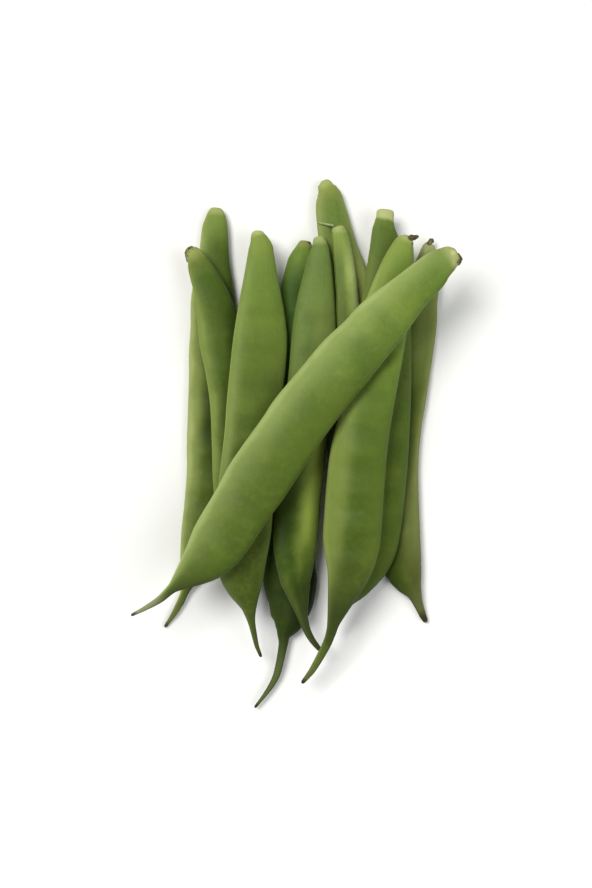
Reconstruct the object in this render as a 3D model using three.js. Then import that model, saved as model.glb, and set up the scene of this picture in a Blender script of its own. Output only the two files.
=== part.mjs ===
// A loose bundle of flat green bean pods lying on a table: eleven pods in
// three layers with one pod laid diagonally on top, and the small dry calyx
// remnants that are still on some of the stem ends.
// Millimetres, +Z up, stem ends toward +Y, tails toward -Y. The origin is at
// the middle of the footprint, on the surface that the bundle lies on.

import * as THREE from 'three';
import { mergeVertices } from 'three/addons/utils/BufferGeometryUtils.js';

// ---- driving dimensions ----------------------------------------------------
const POD_AROUND = 16;        // facets around a pod
const POD_ALONG = 34;         // facets from the stem end to the tip of the tail
const STEM_CAP = 2.4;         // length of the rounding at the stem end
const CAP_SQUARENESS = 3;     // 2 is a round stem end, more is a blunter one
const TAIL_CAP = 0.9;         // length of the rounding at the tip of the tail
const POD_SQUARENESS = 2.25;  // 2 is an ellipse, more is a flatter face
const SMALL_AROUND = 8;       // facets around a calyx remnant
const SMALL_ALONG = 14;       // facets along a calyx remnant
const SMALL_SQUARENESS = 2.0;
const SURFACE = 0;            // height of the surface that the bundle lies on
const SEED_START = 0.13;      // the seeds lie between these two
const SEED_SPAN = 0.76;       // fractions of the body length

// Each pod is a row of sections from the stem end to the tip of the tail:
// [x, y, z, half width, half thickness, lean], the lean in degrees about the
// pod's own axis. body is the length in mm before the tail, seeds the number
// of seeds, and pinch how much thinner the pod is between two seeds.
const PODS = {
  // outer pod at the left, lying flat, its inner half under pod_left_inner
  pod_left_outer: { colour: 0x789145, body: 136.6, seeds: 8, pinch: 0.07, sections: [
    [-29.11, 86.89, 2.74, 2.57, 2.07, -3.3],
    [-29.22, 85.31, 2.78, 2.82, 2.17, -3.3],
    [-29.39, 81.85, 2.86, 4.07, 2.66, -3.3],
    [-29.68, 78.14, 2.95, 4.74, 2.87, -3.3],
    [-30.05, 67.15, 3.18, 5.68, 3.14, -3.2],
    [-30.41, 54.02, 3.40, 7.82, 3.69, -1.9],
    [-29.91, 42.27, 3.55, 8.61, 3.87, -0.7],
    [-29.97, 32.89, 3.63, 9.10, 3.98, 0.2],
    [-29.99, 23.16, 3.68, 9.09, 3.98, 1.2],
    [-30.64, -0.14, 3.68, 9.17, 3.99, 2.1],
    [-30.99, -10.03, 3.62, 8.83, 3.92, 1.4],
    [-32.30, -22.73, 3.50, 8.50, 3.85, 0.4],
    [-34.58, -34.50, 3.33, 7.54, 3.62, -0.4],
    [-37.54, -45.05, 3.13, 4.97, 2.94, -1.2],
    [-39.91, -52.07, 2.86, 2.09, 1.91, -1.3],
    [-40.71, -54.24, 2.57, 1.46, 1.36, -1.3],
    [-42.43, -58.21, 2.04, 1.28, 1.00, -1.3],
    [-44.64, -62.24, 1.79, 0.99, 0.68, -1.3],
    [-46.56, -65.05, 1.25, 0.72, 0.56, -1.3],
    [-48.25, -67.49, 0.71, 0.50, 0.46, -1.3],
  ] },
  // second pod from the left, leaning on the first with its inner edge down
  pod_left_inner: { colour: 0x5f7a3a, body: 114.2, seeds: 7, pinch: 0.07, sections: [
    [-38.33, 70.63, 11.30, 1.74, 1.55, 10.5],
    [-37.57, 69.39, 11.38, 2.28, 1.98, 10.5],
    [-36.15, 67.11, 11.45, 3.22, 2.32, 10.5],
    [-34.60, 63.71, 11.51, 4.41, 2.75, 10.5],
    [-30.26, 52.88, 11.76, 6.28, 3.28, 12.1],
    [-26.30, 37.57, 11.80, 8.79, 3.88, 17.4],
    [-24.44, 27.70, 11.67, 8.78, 3.87, 20.8],
    [-23.30, 17.30, 11.42, 8.53, 3.82, 24.3],
    [-22.83, 6.68, 11.03, 8.30, 3.77, 25.8],
    [-23.09, -14.08, 9.89, 7.19, 3.51, 22.0],
    [-23.54, -32.49, 8.47, 4.76, 2.85, 18.7],
    [-23.49, -40.27, 7.75, 2.76, 2.17, 18.5],
    [-23.38, -43.78, 6.95, 1.78, 1.66, 18.5],
    [-23.19, -48.48, 5.55, 0.55, 0.52, 18.5],
    [-23.00, -52.55, 4.35, 0.50, 0.46, 18.5],
  ] },
  // broad pod left of the middle, over pod_left_inner
  pod_left_broad: { colour: 0x6f8a3d, body: 138.4, seeds: 8, pinch: 0.08, sections: [
    [-13.63, 77.38, 9.99, 2.10, 1.83, 19.5],
    [-13.59, 75.32, 10.25, 2.72, 2.08, 19.5],
    [-13.03, 73.26, 10.81, 3.69, 2.46, 19.5],
    [-12.63, 71.27, 11.09, 4.45, 2.74, 19.5],
    [-12.59, 68.85, 11.37, 4.84, 2.90, 19.5],
    [-12.53, 60.22, 12.62, 6.38, 3.33, 19.5],
    [-12.53, 44.76, 14.51, 9.25, 4.01, 19.9],
    [-13.02, 33.13, 15.65, 10.33, 4.24, 20.3],
    [-14.90, 14.35, 16.94, 10.32, 4.24, 20.9],
    [-15.98, 1.34, 17.44, 10.25, 4.22, 21.4],
    [-17.93, -18.12, 17.56, 10.54, 4.28, 20.8],
    [-18.80, -30.64, 17.24, 10.58, 4.29, 20.3],
    [-19.43, -42.43, 16.67, 9.27, 4.02, 19.9],
    [-18.50, -50.49, 16.11, 7.20, 3.54, 19.6],
    [-16.91, -57.84, 15.48, 3.31, 2.40, 19.5],
    [-16.55, -60.16, 14.98, 2.31, 2.00, 19.5],
    [-15.88, -64.72, 13.10, 1.26, 1.17, 19.5],
    [-14.36, -72.61, 9.56, 0.83, 0.74, 19.5],
    [-13.63, -74.95, 8.41, 0.71, 0.62, 19.5],
    [-12.63, -77.64, 7.26, 0.55, 0.48, 19.5],
  ] },
  // long pod in the middle, lying flat under pod_centre_upper
  pod_centre_long: { colour: 0x62803a, body: 144.1, seeds: 8, pinch: 0.08, sections: [
    [3.51, 74.66, 3.72, 2.63, 2.12, 5.4],
    [3.31, 72.91, 3.72, 2.63, 2.12, 5.4],
    [2.90, 69.21, 3.71, 4.67, 2.91, 5.4],
    [2.57, 65.08, 3.71, 6.02, 3.30, 5.4],
    [1.62, 50.17, 3.71, 8.27, 3.87, 5.1],
    [0.69, 25.24, 3.72, 8.99, 4.03, 2.9],
    [-1.79, -25.63, 3.84, 9.05, 4.05, -1.9],
    [-2.52, -43.63, 3.91, 9.50, 4.15, -3.6],
    [-2.18, -50.52, 3.94, 9.74, 4.20, -4.3],
    [-1.91, -57.14, 3.97, 8.47, 3.92, -5.0],
    [-2.57, -62.28, 4.00, 6.91, 3.54, -5.6],
    [-2.97, -65.31, 4.03, 5.56, 3.17, -6.2],
    [-3.74, -67.88, 3.94, 3.99, 2.43, -6.4],
    [-4.47, -70.37, 3.90, 2.30, 1.73, -6.5],
    [-4.73, -73.74, 3.85, 1.59, 1.40, -6.6],
    [-6.49, -82.50, 3.48, 1.28, 1.12, -6.6],
    [-8.21, -87.07, 3.27, 1.06, 0.91, -6.6],
    [-11.25, -91.77, 3.17, 0.79, 0.62, -6.6],
    [-15.15, -96.81, 2.58, 0.49, 0.46, -6.6],
  ] },
  // pod lying along pod_centre_long
  pod_centre_upper: { colour: 0x6c8450, body: 135.9, seeds: 8, pinch: 0.07, sections: [
    [7.92, 75.26, 10.40, 2.17, 1.90, 6.8],
    [8.37, 73.61, 10.44, 2.22, 1.92, 6.8],
    [8.83, 70.33, 10.53, 3.38, 2.55, 6.8],
    [8.35, 62.58, 10.74, 5.22, 3.17, 6.8],
    [7.07, 45.54, 11.16, 7.75, 3.86, 7.9],
    [5.92, 24.98, 11.62, 8.61, 4.07, 10.0],
    [4.62, 12.24, 11.88, 8.70, 4.09, 11.3],
    [2.88, -0.81, 12.13, 8.34, 4.01, 12.7],
    [0.87, -20.41, 12.45, 8.23, 3.98, 14.8],
    [-0.20, -36.04, 12.67, 8.22, 3.98, 16.5],
    [-0.14, -47.63, 12.81, 6.10, 3.43, 17.8],
    [0.54, -52.58, 12.89, 4.73, 2.98, 18.2],
    [1.44, -57.49, 12.96, 3.21, 2.45, 18.6],
    [2.43, -62.34, 12.52, 1.94, 1.79, 18.8],
    [3.83, -67.03, 11.47, 1.39, 1.29, 18.8],
    [5.68, -70.71, 10.59, 1.17, 1.09, 18.8],
    [7.92, -73.72, 9.79, 0.95, 0.88, 18.8],
    [8.73, -74.62, 9.43, 0.73, 0.62, 18.8],
    [9.68, -75.76, 9.30, 0.54, 0.48, 18.8],
  ] },
  // slim pod on its edge between its neighbours
  pod_back_slim: { colour: 0x7f9a4c, body: 98.8, seeds: 6, pinch: 0.06, sections: [
    [14.92, 78.83, 11.42, 2.39, 2.22, 39.9],
    [15.57, 76.49, 11.53, 2.53, 2.32, 39.9],
    [15.88, 75.31, 11.58, 3.12, 2.63, 39.9],
    [16.79, 69.85, 11.82, 3.83, 2.91, 39.9],
    [18.37, 55.59, 12.24, 4.61, 3.19, 41.1],
    [18.88, 47.21, 12.38, 4.91, 3.30, 42.0],
    [19.03, 38.22, 12.43, 4.90, 3.29, 43.1],
    [18.73, 21.72, 12.28, 4.70, 3.22, 44.6],
    [18.15, -1.39, 11.51, 4.12, 3.02, 38.7],
    [17.93, -13.71, 10.83, 3.37, 2.73, 35.6],
    [17.82, -20.88, 10.24, 2.23, 2.08, 34.9],
    [17.89, -25.64, 9.19, 1.24, 1.16, 34.9],
    [17.97, -28.47, 8.55, 0.56, 0.52, 34.9],
    [18.03, -33.38, 7.46, 0.50, 0.46, 34.9],
  ] },
  // pod that reaches furthest up, lying flat
  pod_back_tall: { colour: 0x6f8a3e, body: 138.1, seeds: 7, pinch: 0.07, sections: [
    [10.13, 96.63, 3.76, 1.61, 1.50, 9.9],
    [10.68, 95.24, 3.77, 2.45, 2.05, 9.9],
    [11.04, 93.77, 3.78, 3.07, 2.38, 9.9],
    [11.70, 92.20, 3.79, 3.99, 2.72, 9.9],
    [12.36, 89.82, 3.80, 4.83, 2.98, 9.9],
    [12.93, 84.83, 3.81, 5.69, 3.24, 9.9],
    [15.47, 71.62, 3.85, 6.95, 3.58, 9.3],
    [18.38, 58.76, 3.86, 8.54, 3.97, 8.3],
    [19.52, 38.25, 3.84, 8.54, 3.97, 6.9],
    [19.49, 13.53, 3.73, 8.28, 3.91, 5.9],
    [19.47, -18.24, 3.48, 7.54, 3.73, 5.9],
    [19.55, -28.13, 3.38, 6.68, 3.51, 5.9],
    [20.00, -36.78, 3.28, 4.71, 2.95, 5.9],
    [20.52, -42.36, 3.21, 2.63, 2.20, 5.9],
    [21.01, -47.22, 2.24, 0.55, 0.51, 5.9],
    [21.13, -48.72, 1.93, 0.50, 0.46, 5.9],
  ] },
  // pod with the wide pale cap at its stem end
  pod_right_capped: { colour: 0x64803c, body: 146.2, seeds: 8, pinch: 0.07, sections: [
    [32.49, 85.20, 9.46, 2.90, 2.10, 12.0],
    [32.33, 82.75, 9.61, 3.01, 2.13, 12.0],
    [32.13, 80.79, 9.96, 3.26, 2.23, 12.0],
    [31.94, 79.13, 10.14, 3.88, 2.44, 12.0],
    [31.99, 76.32, 10.31, 4.61, 2.69, 12.0],
    [32.79, 67.73, 11.07, 6.68, 3.24, 12.0],
    [32.81, 57.69, 11.84, 8.31, 3.62, 12.8],
    [32.50, 46.45, 12.55, 9.38, 3.84, 14.0],
    [31.92, 21.45, 13.56, 10.16, 4.00, 16.5],
    [31.09, -4.97, 13.75, 9.96, 3.96, 19.3],
    [29.27, -30.20, 13.09, 9.40, 3.85, 22.1],
    [26.94, -41.36, 12.52, 8.59, 3.68, 23.3],
    [22.35, -50.49, 11.87, 5.98, 3.07, 24.0],
    [17.41, -57.93, 11.19, 2.54, 2.00, 24.0],
    [14.71, -65.06, 8.36, 0.58, 0.54, 24.0],
    [14.04, -68.35, 7.04, 0.50, 0.46, 24.0],
  ] },
  // broad pod right of the middle
  pod_right_broad: { colour: 0x728d40, body: 142.4, seeds: 8, pinch: 0.09, sections: [
    [40.30, 74.48, 18.02, 1.43, 1.33, -4.2],
    [39.47, 72.88, 18.25, 2.86, 2.17, -4.2],
    [38.08, 69.93, 18.74, 4.11, 2.71, -4.2],
    [35.59, 61.08, 19.78, 6.19, 3.34, -4.2],
    [31.35, 43.34, 21.62, 8.53, 3.92, -4.6],
    [25.22, 12.00, 23.33, 9.07, 4.04, -5.6],
    [22.01, -5.04, 23.42, 10.02, 4.25, -6.1],
    [20.03, -29.22, 22.56, 10.28, 4.30, -7.8],
    [19.72, -35.93, 22.13, 9.97, 4.24, -8.2],
    [19.19, -42.43, 21.62, 8.68, 3.95, -8.7],
    [17.92, -48.60, 21.05, 6.87, 3.51, -9.1],
    [13.71, -62.65, 19.43, 2.56, 2.14, -10.1],
    [12.42, -67.89, 17.86, 1.71, 1.59, -10.2],
    [10.66, -72.66, 16.03, 1.48, 1.38, -10.2],
    [6.45, -80.78, 12.75, 1.19, 1.07, -10.2],
    [4.15, -84.12, 11.55, 0.94, 0.80, -10.2],
    [2.13, -86.74, 10.36, 0.65, 0.53, -10.2],
  ] },
  // outer pod at the right, lying flat
  pod_right_outer: { colour: 0x5b7636, body: 129.1, seeds: 7, pinch: 0.07, sections: [
    [48.96, 73.74, 3.29, 1.46, 1.36, -1.1],
    [48.66, 72.31, 3.30, 2.31, 2.04, -1.1],
    [48.04, 66.06, 3.33, 4.30, 2.96, -1.1],
    [46.93, 58.36, 3.38, 5.42, 3.33, -1.1],
    [45.79, 51.78, 3.41, 5.94, 3.48, -0.7],
    [44.35, 41.96, 3.46, 6.95, 3.77, 0.0],
    [40.23, 16.93, 3.56, 7.38, 3.88, 1.9],
    [38.58, 5.01, 3.60, 7.16, 3.83, 2.8],
    [37.42, -9.99, 3.63, 7.27, 3.86, 1.3],
    [37.47, -32.72, 3.66, 7.83, 4.00, -1.5],
    [38.49, -42.81, 3.66, 7.31, 3.87, -2.7],
    [39.73, -47.28, 3.66, 6.44, 3.63, -3.1],
    [41.43, -51.26, 3.66, 4.83, 3.14, -3.1],
    [43.30, -54.87, 3.66, 2.72, 2.36, -3.1],
    [44.73, -58.53, 2.99, 1.74, 1.60, -3.1],
    [46.41, -62.66, 2.00, 1.28, 1.11, -3.1],
    [47.17, -64.23, 1.71, 1.06, 0.78, -3.1],
    [47.89, -65.58, 1.44, 0.81, 0.58, -3.1],
  ] },
  // pod laid diagonally over all the others
  pod_diagonal: { colour: 0x7e9a4a, body: 159.7, seeds: 9, pinch: 0.08, sections: [
    [56.92, 66.25, 31.43, 2.24, 1.90, -8.2],
    [55.77, 65.73, 31.37, 2.80, 2.13, -8.2],
    [53.12, 64.62, 31.24, 4.41, 2.74, -8.2],
    [49.50, 62.11, 31.11, 5.70, 3.11, -8.2],
    [46.31, 58.92, 30.96, 6.53, 3.33, -8.2],
    [40.70, 53.85, 30.71, 7.12, 3.48, -8.2],
    [30.53, 43.55, 30.26, 9.37, 3.99, -8.2],
    [24.17, 36.28, 29.97, 9.79, 4.08, -8.2],
    [17.25, 28.74, 29.68, 10.59, 4.24, -8.2],
    [10.41, 20.56, 29.38, 10.58, 4.24, -8.2],
    [1.32, 9.05, 28.99, 10.98, 4.32, -8.2],
    [-2.82, 2.89, 28.80, 10.94, 4.31, -8.2],
    [-13.20, -12.32, 28.35, 11.27, 4.38, -8.2],
    [-18.89, -21.41, 28.11, 10.57, 4.24, -8.2],
    [-26.18, -32.90, 27.82, 10.24, 4.17, -8.2],
    [-29.80, -38.18, 27.69, 9.28, 3.97, -8.2],
    [-33.91, -42.61, 27.57, 7.39, 3.54, -8.2],
    [-42.38, -49.83, 27.36, 2.40, 2.02, -8.2],
    [-44.32, -51.55, 26.81, 1.64, 1.52, -8.2],
    [-48.25, -55.08, 25.75, 1.20, 1.11, -8.2],
    [-53.42, -58.25, 24.39, 0.81, 0.63, -8.2],
    [-58.52, -60.91, 23.27, 0.50, 0.46, -8.2],
  ] },
};

// Dry brown calyx remnants, and one thin pale stalk, each a small rounded body
// along its own row of sections. They touch the stem end that they belong to.
const REMNANTS = {
  // crescent rim on the stem end of pod_left_inner
  calyx_left: { colour: 0x4a3d20, cap: 0.3, sections: [
    [-39.38, 65.25, 11.10, 0.22, 0.50, 0.0],
    [-39.88, 67.53, 11.25, 0.34, 1.00, 0.0],
    [-40.00, 69.34, 11.40, 0.36, 1.30, 0.0],
    [-39.29, 70.63, 11.50, 0.34, 1.20, 0.0],
    [-38.16, 71.34, 11.60, 0.30, 1.00, 0.0],
    [-36.65, 71.43, 11.70, 0.20, 0.50, 0.0],
  ] },
  // small rim on the stem end of pod_diagonal
  calyx_diagonal: { colour: 0x5b5330, cap: 0.3, sections: [
    [56.78, 67.39, 31.73, 0.20, 0.40, 0.0],
    [57.59, 66.13, 31.63, 0.34, 0.90, 0.0],
    [58.07, 64.58, 31.43, 0.50, 1.20, 0.0],
    [57.39, 62.85, 31.33, 0.48, 1.10, 0.0],
    [56.10, 61.51, 31.23, 0.25, 0.50, 0.0],
  ] },
  // short flat remnant on pod_right_broad
  calyx_mid: { colour: 0x54482a, cap: 0.4, sections: [
    [40.12, 73.36, 20.86, 0.55, 0.35, 0.0],
    [40.99, 73.53, 20.56, 0.85, 0.50, 0.0],
    [42.08, 73.66, 19.24, 0.95, 0.60, 8.0],
    [43.25, 74.08, 17.84, 0.62, 0.50, 12.0],
    [44.19, 74.20, 17.74, 0.45, 0.40, 14.0],
  ] },
  // short remnant on pod_right_outer
  calyx_right: { colour: 0x54482a, cap: 0.4, sections: [
    [48.26, 72.69, 5.73, 0.50, 0.30, 0.0],
    [48.79, 73.53, 5.43, 0.80, 0.45, 0.0],
    [49.62, 74.33, 4.15, 0.95, 0.60, 0.0],
    [50.55, 74.67, 3.51, 0.60, 0.45, 0.0],
  ] },
  // thin stalk from pod_back_slim, lying over pod_back_tall
  stalk_thread: { colour: 0xa9b57a, cap: 0.3, sections: [
    [13.45, 78.68, 12.88, 0.36, 0.36, 0.0],
    [12.69, 79.10, 10.94, 0.42, 0.42, 0.0],
    [11.56, 79.50, 9.54, 0.42, 0.42, 0.0],
    [10.38, 79.89, 8.34, 0.40, 0.40, 0.0],
    [9.13, 80.26, 7.44, 0.38, 0.38, 0.0],
    [7.97, 80.60, 6.60, 0.30, 0.30, 0.0],
  ] },
};

// ---- geometry ---------------------------------------------------------------

// Signed power, for the rounded-square section.
const signedPow = (v, e) => (Math.abs(v) < 1e-9 ? 0 : Math.sign(v) * Math.abs(v) ** e);

// Arc positions of the rings from pole to pole, with the factor that closes
// the two ends to a rounded point.
function ringPlan(length, along, stemCap, tailCap, stemRings, tailRings, blunt) {
  const plan = [];
  for (let i = 0; i < stemRings; i++) {
    const b = 0.5 * Math.PI * (i / stemRings);
    plan.push([stemCap * (1 - Math.cos(b)), (1 - Math.cos(b) ** blunt) ** (1 / blunt)]);
  }
  const middle = along - stemRings - tailRings;
  for (let i = 0; i <= middle; i++) {
    const u = i / middle;
    const v = 0.62 * u + 0.38 * (1 - Math.cos(Math.PI * u)) / 2;
    plan.push([stemCap + (length - stemCap - tailCap) * v, 1]);
  }
  for (let i = 1; i <= tailRings; i++) {
    const b = 0.5 * Math.PI * (1 - i / tailRings);
    plan.push([length - tailCap * (1 - Math.cos(b)), i === tailRings ? 0 : Math.sin(b)]);
  }
  return plan;
}

// The pod is a little thinner between two seeds than over a seed.
function seedFactor(s, body, seeds, pinch) {
  if (seeds <= 0) return 1;
  const u = (s - SEED_START * body) / (SEED_SPAN * body);
  const e = Math.min(1, Math.max(0, Math.min(u, 1 - u) / 0.08));
  const env = e * e * (3 - 2 * e);
  return 1 - pinch * env * (0.5 + 0.5 * Math.cos(2 * Math.PI * u * seeds));
}

// A sphere whose rings are laid along the row of sections.
function loft(spec, around, along, stemCap, tailCap, stemRings, tailRings, squareness, blunt) {
  const n = spec.sections.length;
  const line = new THREE.CatmullRomCurve3(
    spec.sections.map(([x, y, z]) => new THREE.Vector3(x, y, z)), false, 'catmullrom', 0.5);
  const shape = new THREE.CatmullRomCurve3(
    spec.sections.map(([, , , a, b, lean]) => new THREE.Vector3(a, b, lean)), false, 'catmullrom', 0.5);

  // arc length along the line at even steps of its parameter
  const STEPS = 400;
  const lengths = [0];
  let before = line.getPoint(0);
  for (let i = 1; i <= STEPS; i++) {
    const p = line.getPoint(i / STEPS);
    lengths.push(lengths[i - 1] + p.distanceTo(before));
    before = p;
  }
  const length = lengths[STEPS];
  const parameterAt = (s) => {
    let i = 1;
    while (i < STEPS && lengths[i] < s) i++;
    const f = (s - lengths[i - 1]) / (lengths[i] - lengths[i - 1]);
    return Math.min(1, Math.max(0, (i - 1 + f) / STEPS));
  };

  const rings = ringPlan(length, along, stemCap, tailCap, stemRings, tailRings, blunt).map(([s, close]) => {
    const t = parameterAt(s);
    const centre = line.getPoint(t);
    const tangent = line.getPoint(Math.min(1, t + 1e-3))
      .sub(line.getPoint(Math.max(0, t - 1e-3))).normalize();
    const side = new THREE.Vector3(0, 0, 1).cross(tangent).normalize();
    const face = tangent.clone().cross(side);
    const profile = shape.getPoint(t);
    const lean = THREE.MathUtils.degToRad(profile.z);
    const across = side.clone().multiplyScalar(Math.cos(lean)).addScaledVector(face, -Math.sin(lean));
    const through = face.clone().multiplyScalar(Math.cos(lean)).addScaledVector(side, Math.sin(lean));
    return {
      centre, across, through,
      a: profile.x * close,
      b: profile.y * close * seedFactor(s, spec.body ?? 1, spec.seeds ?? 0, spec.pinch ?? 0),
    };
  });

  const geometry = new THREE.SphereGeometry(1, around, along);
  const position = geometry.attributes.position;
  for (let i = 0; i < position.count; i++) {
    const ring = rings[Math.floor(i / (around + 1))];
    const turn = -2 * Math.PI * ((i % (around + 1)) % around) / around;
    const u = signedPow(Math.cos(turn), 2 / squareness) * ring.a;
    const v = signedPow(Math.sin(turn), 2 / squareness) * ring.b;
    const p = ring.centre.clone().addScaledVector(ring.across, u).addScaledVector(ring.through, v);
    // the underside is pressed flat where it rests on the surface
    position.setXYZ(i, p.x, p.y, Math.max(p.z, SURFACE));
  }
  geometry.deleteAttribute('normal');
  geometry.deleteAttribute('uv');
  const closed = mergeVertices(geometry, 1e-5);
  closed.computeVertexNormals();
  return closed;
}

// ---- the bundle --------------------------------------------------------------
const bundle = new THREE.Group();

for (const [name, spec] of Object.entries(PODS)) {
  const mesh = new THREE.Mesh(
    loft(spec, POD_AROUND, POD_ALONG, STEM_CAP, TAIL_CAP, 3, 2, POD_SQUARENESS, CAP_SQUARENESS),
    new THREE.MeshStandardMaterial({ color: spec.colour, roughness: 0.45, metalness: 0 }));
  mesh.name = name;
  bundle.add(mesh);
}

for (const [name, spec] of Object.entries(REMNANTS)) {
  const mesh = new THREE.Mesh(
    loft(spec, SMALL_AROUND, SMALL_ALONG, spec.cap, spec.cap, 2, 2, SMALL_SQUARENESS, 2),
    new THREE.MeshStandardMaterial({ color: spec.colour, roughness: 0.8, metalness: 0 }));
  mesh.name = name;
  bundle.add(mesh);
}

export default bundle;
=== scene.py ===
# Looks of a loose bundle of flat green bean pods lying on a table: eleven pods,
# four dry calyx remnants and one thin stalk. Everything is modelled in
# millimetres and written in metres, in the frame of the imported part.
import bpy
import math
import numpy as np
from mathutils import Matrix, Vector


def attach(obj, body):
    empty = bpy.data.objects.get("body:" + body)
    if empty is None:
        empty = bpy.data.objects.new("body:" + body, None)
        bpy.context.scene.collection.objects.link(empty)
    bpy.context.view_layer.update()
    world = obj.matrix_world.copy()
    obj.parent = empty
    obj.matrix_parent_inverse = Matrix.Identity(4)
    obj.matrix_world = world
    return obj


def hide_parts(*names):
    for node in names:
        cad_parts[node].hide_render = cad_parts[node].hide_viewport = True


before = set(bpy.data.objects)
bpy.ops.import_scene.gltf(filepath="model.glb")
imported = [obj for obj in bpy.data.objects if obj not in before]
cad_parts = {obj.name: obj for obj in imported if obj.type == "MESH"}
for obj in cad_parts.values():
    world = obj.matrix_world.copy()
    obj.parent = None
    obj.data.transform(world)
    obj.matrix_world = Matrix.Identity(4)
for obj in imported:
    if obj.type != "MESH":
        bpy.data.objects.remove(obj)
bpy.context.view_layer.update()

MM = 0.001

# ---- sizes -------------------------------------------------------------------
AROUND = 88            # points around a pod
ALONG = 236            # rings from the stem end to the tip of the tail
STEM_CAP = 2.4
TAIL_CAP = 0.9
SQUARE = 2.10          # 2 is an ellipse, more is a flatter face
BLUNT = 3.2            # 2 is a round stem end, more is a blunter one
SURFACE = 0.0
SEED_START, SEED_SPAN = 0.13, 0.76

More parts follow.
